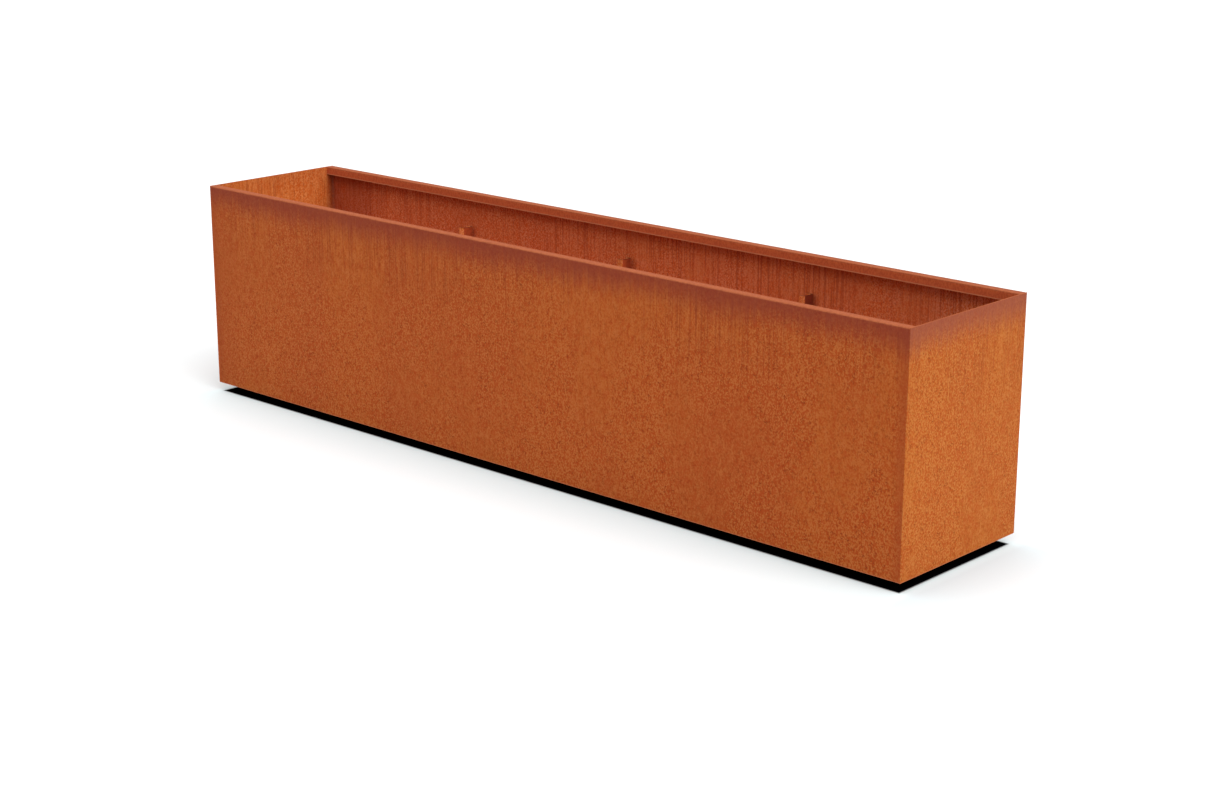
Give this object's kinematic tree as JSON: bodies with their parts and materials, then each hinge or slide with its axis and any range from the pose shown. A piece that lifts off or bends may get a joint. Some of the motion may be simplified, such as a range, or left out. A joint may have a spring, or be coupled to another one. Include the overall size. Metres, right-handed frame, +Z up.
{
  "type": "planter box",
  "caption": "Long rectangular planter box of weathering steel sheet, open on top, with folded rims, inside posts and cross ties, and low rails that lift it off the ground.",
  "frame": {"origin": "on the ground under the middle of the box", "axes": "+X along the box's length, -Y towards the front long wall, +Z up"},
  "size_m": [2.4384, 0.4572, 0.6096],
  "materials": {
    "weathering_steel": "matte",
    "weld_bead": "matte",
    "rail_steel": "matte",
    "fastener_steel": "satin"
  },
  "bodies": {
    "root": {"front_panel": "weathering_steel", "rear_panel": "weathering_steel", "left_end_panel": "weathering_steel", "right_end_panel": "weathering_steel", "floor_panel": "weathering_steel", "corner_weld_front_left": "weld_bead", "corner_weld_front_right": "weld_bead", "corner_weld_rear_left": "weld_bead", "corner_weld_rear_right": "weld_bead", "cross_tie_left": "weathering_steel", "post_front_left": "weathering_steel", "tie_bolt_front_left": "fastener_steel", "tie_nut_front_left": "fastener_steel", "post_rear_left": "weathering_steel", "tie_bolt_rear_left": "fastener_steel", "tie_nut_rear_left": "fastener_steel", "cross_tie_centre": "weathering_steel", "post_front_centre": "weathering_steel", "tie_bolt_front_centre": "fastener_steel", "tie_nut_front_centre": "fastener_steel", "post_rear_centre": "weathering_steel", "tie_bolt_rear_centre": "fastener_steel", "tie_nut_rear_centre": "fastener_steel", "cross_tie_right": "weathering_steel", "post_front_right": "weathering_steel", "tie_bolt_front_right": "fastener_steel", "tie_nut_front_right": "fastener_steel", "post_rear_right": "weathering_steel", "tie_bolt_rear_right": "fastener_steel", "tie_nut_rear_right": "fastener_steel", "base_rail_1": "rail_steel", "rail_bolt_front_1": "fastener_steel", "rail_nut_front_1": "fastener_steel", "rail_bolt_rear_1": "fastener_steel", "rail_nut_rear_1": "fastener_steel", "base_rail_2": "rail_steel", "rail_bolt_front_2": "fastener_steel", "rail_nut_front_2": "fastener_steel", "rail_bolt_rear_2": "fastener_steel", "rail_nut_rear_2": "fastener_steel", "base_rail_3": "rail_steel", "rail_bolt_front_3": "fastener_steel", "rail_nut_front_3": "fastener_steel", "rail_bolt_rear_3": "fastener_steel", "rail_nut_rear_3": "fastener_steel", "base_rail_4": "rail_steel", "rail_bolt_front_4": "fastener_steel", "rail_nut_front_4": "fastener_steel", "rail_bolt_rear_4": "fastener_steel", "rail_nut_rear_4": "fastener_steel", "base_rail_5": "rail_steel", "rail_bolt_front_5": "fastener_steel", "rail_nut_front_5": "fastener_steel", "rail_bolt_rear_5": "fastener_steel", "rail_nut_rear_5": "fastener_steel"}
  },
  "joints": []
}
